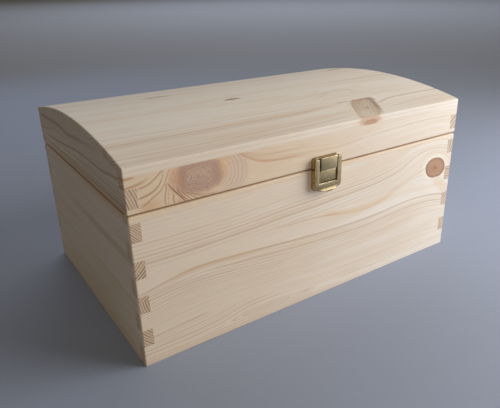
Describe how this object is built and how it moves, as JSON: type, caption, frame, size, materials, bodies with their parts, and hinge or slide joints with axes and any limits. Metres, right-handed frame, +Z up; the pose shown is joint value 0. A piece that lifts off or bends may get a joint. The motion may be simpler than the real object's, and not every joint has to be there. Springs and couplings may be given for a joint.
{
  "type": "domed keepsake chest",
  "caption": "Small box-jointed pine chest with a shallow domed, hinged lid of glued staves and a brass snap latch on the front.",
  "frame": {"origin": "middle of the flat underside, on the surface that the chest stands on", "axes": "+X along the front towards its right-hand end, +Y from the front to the back, +Z up"},
  "size_m": [0.4, 0.2735, 0.1996],
  "materials": {
    "pine": "planed and sanded pine, left raw, with pale earlywood, tan latewood lines and knots",
    "bottom_board": "thin sanded softwood board, left raw",
    "latch_brass": "antique brass plating, satin and slightly dull",
    "hinge_brass": "satin brass plating on pressed steel",
    "screw_brass": "brass plated countersunk screw"
  },
  "bodies": {
    "body": {"body_front": "pine", "body_back": "pine", "body_left_end": "pine", "body_right_end": "pine", "body_bottom": "bottom_board", "hinge_body_leaf_left": "hinge_brass", "hinge_body_leaf_right": "hinge_brass", "hinge_pin_left": "hinge_brass", "hinge_pin_right": "hinge_brass", "hinge_body_screws": "screw_brass", "latch_catch": "latch_brass", "latch_catch_screws": "screw_brass"},
    "lid": {"lid_front_rail": "pine", "lid_back_rail": "pine", "lid_left_end": "pine", "lid_right_end": "pine", "lid_stave_1": "pine", "lid_stave_2": "pine", "lid_stave_3": "pine", "lid_stave_4": "pine", "lid_stave_5": "pine", "hinge_lid_leaf_left": "hinge_brass", "hinge_lid_leaf_right": "hinge_brass", "hinge_lid_screws": "screw_brass", "latch_bracket": "latch_brass", "latch_bracket_screws": "screw_brass", "latch_pin": "latch_brass"},
    "flap": {"latch_flap": "latch_brass"}
  },
  "joints": [
    {"name": "lid_hinge", "type": "hinge", "parent": "body", "child": "lid", "pos_m": [0, 0.1327, 0.14505], "axis": [-1, 0, 0], "range_deg": [0, 180]},
    {"name": "flap_hinge", "type": "hinge", "parent": "lid", "child": "flap", "pos_m": [0, -0.13585, 0.1546], "axis": [-1, 0, 0], "range_deg": [0, 170]}
  ]
}
